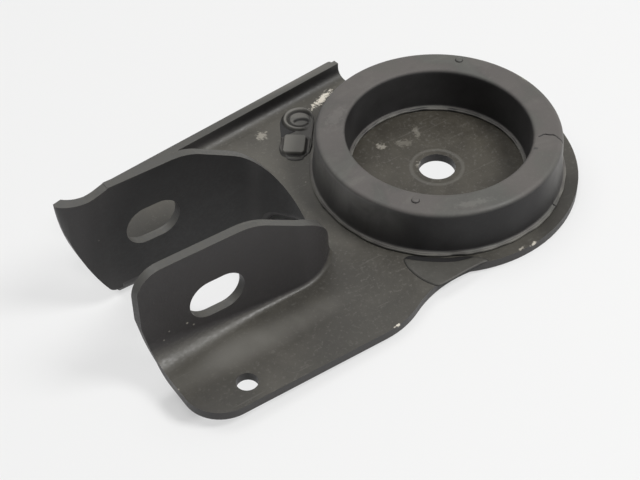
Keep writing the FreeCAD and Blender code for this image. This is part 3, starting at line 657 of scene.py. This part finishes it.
sheet = {
    "merge": 1e-6, "flat": 0.3,              # metres, and the degrees under which faces are made one
    "sharp": 50, "edgeRound": 0.4,           # outer edges of more degrees than this are rounded
    "smooth": 32,                            # degrees up to which faces shade as one
    # what tells the cut faces: where the gap's round end has its centre, the heights of the ears' foot, of the
    # plate's top and of the flange's top, and how far the centre hole reaches
    "gapEnd": -67.5, "earFoot": 8.15, "plateTop": 3.01, "flangeTop": 7.9, "holeReach": 20,
}


def makeBracket():
    # the same pressed sheet with its faces joined up and its sharp outer edges rounded
    g = sheet
    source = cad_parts["pressed_bracket"]
    bm = bmesh.new()
    bm.from_mesh(source.data)
    bmesh.ops.remove_doubles(bm, verts=bm.verts, dist=g["merge"])
    bmesh.ops.dissolve_limit(bm, angle_limit=math.radians(g["flat"]), verts=bm.verts, edges=bm.edges)
    limit = math.radians(g["sharp"])
    sharp = [e for e in bm.edges if len(e.link_faces) == 2 and e.calc_face_angle_signed(0) > limit]
    bmesh.ops.bevel(bm, geom=sharp, offset=g["edgeRound"] * mm, offset_type="OFFSET", segments=2,
                    profile=0.5, affect="EDGES", clamp_overlap=True, material=1)
    mesh = bpy.data.meshes.new("pressed_bracket_skin")
    bm.to_mesh(mesh)
    bm.free()
    count = len(mesh.polygons)
    normals, centres = np.empty(count * 3), np.empty(count * 3)
    mesh.polygons.foreach_get("normal", normals)
    mesh.polygons.foreach_get("center", centres)
    n, c = normals.reshape(-1, 3), centres.reshape(-1, 3) / mm
    # a cut face looks along the sheet: sideways on the plate, along the wall on an ear, up on the flange's top
    wall = np.stack([np.maximum(c[:, 0] - g["gapEnd"], 0), c[:, 1]], -1)
    wall /= np.maximum(np.linalg.norm(wall, axis=1), 1e-6)[:, None]
    onEar = c[:, 2] > g["earFoot"]
    cut = np.where(onEar, np.abs((n[:, :2] * wall).sum(1)) < 0.5, np.abs(n[:, 2]) < 0.4)
    low = (c[:, 2] < g["plateTop"]) | (np.hypot(c[:, 0], c[:, 1]) < g["holeReach"])
    cut = np.where(onEar | low, cut, False) | ((c[:, 2] > g["flangeTop"]) & (n[:, 2] > 0.9))
    layer = mesh.attributes.new("cutFace", "FLOAT", "FACE")
    layer.data.foreach_set("value", cut.astype(np.float32))
    mesh.polygons.foreach_set("use_smooth", np.ones(count, bool))
    mesh.set_sharp_from_angle(angle=math.radians(g["smooth"]))
    piece = addObject("pressed_bracket_skin", mesh)
    piece.data.materials.append(steelFinishAndPaintedLight("worn_coated_steel_and_painted_light", False))
    piece.data.materials.append(steelFinishAndPaintedLight("rubbed_lit_steel_edge", True))
    even = piece.modifiers.new("even_normals", "WEIGHTED_NORMAL")
    even.keep_sharp = True
    even.weight = 100
    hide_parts("pressed_bracket")
    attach(piece, "root")
    print("bracket made,", count, "faces,", len(sharp), "edges rounded")


makeBracket()
makeRing()


# the camera: its place in metres, its unit directions, and its lens and sensor in millimetres
view = {"eye": (-0.2447, -0.3053, 0.3559),
        "right": (0.82979, -0.55785, -0.01607),
        "up": (0.40212, 0.57768, 0.71034),
        "back": (-0.38698, -0.59589, 0.70368),
        "lens": 90.0, "sensor": 36.0}


def setCamera():
    data = bpy.data.cameras.new("camera")
    data.lens = view["lens"]
    data.sensor_width = view["sensor"]
    cam = addObject("camera", data)
    turn = Matrix((view["right"], view["up"], view["back"])).transposed()
    cam.matrix_world = Matrix.Translation(view["eye"]) @ turn.to_4x4()
    bpy.context.scene.camera = cam


room = {
    # the floor touches the back ear's foot, the front edge and the rim: its normal, and its height on the axis
    "floorNormal": (-0.0295, 0.0993, 0.9946), "floorHeight": -4.85,
    "floorHalf": 2.5, "floorRough": 0.9,     # half its side, in metres
    "floorColour": (0.80, 0.80, 0.79), "floorGlow": 0.862, "floorShare": 0.70,
    # where the floor under the part glows more or less: place, half size, share; then how each spot fades out
    "glowSpots": [((5.3, 6.4, -5.3), (12.0, 12.0, 20.0), 1.0),
                  ((-98.1, -38.8, -3.9), (9.0, 9.0, 20.0), 0.95),
                  ((-85.4, 3.6, -7.7), (11.0, 9.0, 20.0), 0.95),
                  ((-117.5, -34.0, -4.9), (9.0, 7.0, 20.0), 0.50),
                  ((-48.5, 19.2, -8.0), (13.0, 9.0, 20.0), 0.0)],
    "spotFade": (0.6, 1.3),
    "backdrop": 0.885,
    "skyColour": (0.97, 0.985, 1.0), "skyStrength": 0.30,
    # name, place and size in metres, watts; then the point that they face
    "lamps": [("soft_right", (0.42, -0.50, 0.92), 0.42, 11.0),
              ("soft_top", (-0.15, 0.45, 0.95), 0.80, 5.0)],
    "lampAim": (-0.03, 0, 0),
}


def plainRays(nodes, links):
    # 1 for the rays that see the plain background: from the camera, off a gloss or through glass
    path = nodes.new("ShaderNodeLightPath")
    total = path.outputs["Is Camera Ray"]
    for kind in ("Is Glossy Ray", "Is Transmission Ray"):
        either = nodes.new("ShaderNodeMath")
        either.operation = "MAXIMUM"
        links.new(total, either.inputs[0])
        links.new(path.outputs[kind], either.inputs[1])
        total = either.outputs[0]
    return total


def setLight():
    for name, place, side, power in room["lamps"]:
        data = bpy.data.lights.new(name, "AREA")
        data.shape = "DISK"
        data.size = side
        data.energy = power
        lamp = addObject(name, data)
        lamp.location = place
        lamp.rotation_euler = (Vector(place) - Vector(room["lampAim"])).to_track_quat("Z", "Y").to_euler()
    world = bpy.data.worlds.new("world")
    bpy.context.scene.world = world
    world.use_nodes = True
    nodes, links = world.node_tree.nodes, world.node_tree.links
    nodes.clear()
    out = nodes.new("ShaderNodeOutputWorld")
    soft = nodes.new("ShaderNodeBackground")
    plain = nodes.new("ShaderNodeBackground")
    soft.inputs[0].default_value = (*room["skyColour"], 1)
    soft.inputs[1].default_value = room["skyStrength"]
    plain.inputs[0].default_value = (room["backdrop"],) * 3 + (1,)
    plain.inputs[1].default_value = 1.0
    mix = nodes.new("ShaderNodeMixShader")
    links.new(plainRays(nodes, links), mix.inputs[0])
    links.new(soft.outputs[0], mix.inputs[1])
    links.new(plain.outputs[0], mix.inputs[2])
    links.new(mix.outputs[0], out.inputs[0])


def setFloor():
    # a plain pale sheet: x and y run over a grid, z follows from the plane's normal and height
    steps = np.linspace(-room["floorHalf"], room["floorHalf"], 3)
    u, v = np.meshgrid(steps, steps, indexing="ij")
    nx, ny, nz = room["floorNormal"]
    w = room["floorHeight"] * mm - (nx * u + ny * v) / nz
    points = np.stack([u, v, w], -1).reshape(-1, 3)
    faces = [(0, 3, 4, 1), (1, 4, 5, 2), (3, 6, 7, 4), (4, 7, 8, 5)]
    mesh = bpy.data.meshes.new("floor")
    mesh.from_pydata(points.tolist(), [], faces)
    floor = addObject("floor", mesh)
    s = Shade("pale_floor")
    s.shader.inputs["Base Color"].default_value = (*room["floorColour"], 1)
    s.shader.inputs["Roughness"].default_value = room["floorRough"]
    s.shader.inputs["Specular IOR Level"].default_value = 0.0
    # for the plain rays the sheet glows like the backdrop, and it keeps a part of the shadow
    glow = s.tree.nodes.new("ShaderNodeEmission")
    glow.inputs[0].default_value = (room["floorGlow"],) * 3 + (1,)
    share = room["floorShare"]
    for place, half, other in room["glowSpots"]:
        spot = s.ramp(s.away(place, half), *room["spotFade"], 1.0, 0.0)
        rest = s.math("MULTIPLY", share, s.math("SUBTRACT", 1.0, spot))
        share = s.math("ADD", rest, s.math("MULTIPLY", spot, other))
    mix = s.tree.nodes.new("ShaderNodeMixShader")
    s.put(mix, 0, s.math("MULTIPLY", share, plainRays(s.tree.nodes, s.tree.links)))
    s.tree.links.new(s.shader.outputs[0], mix.inputs[1])
    s.tree.links.new(glow.outputs[0], mix.inputs[2])
    s.tree.links.new(mix.outputs[0], s.out.inputs["Surface"])
    mesh.materials.append(s.mat)


setCamera()
setLight()
setFloor()
bpy.context.scene.view_settings.view_transform = "Standard"
print("camera, light and floor set")
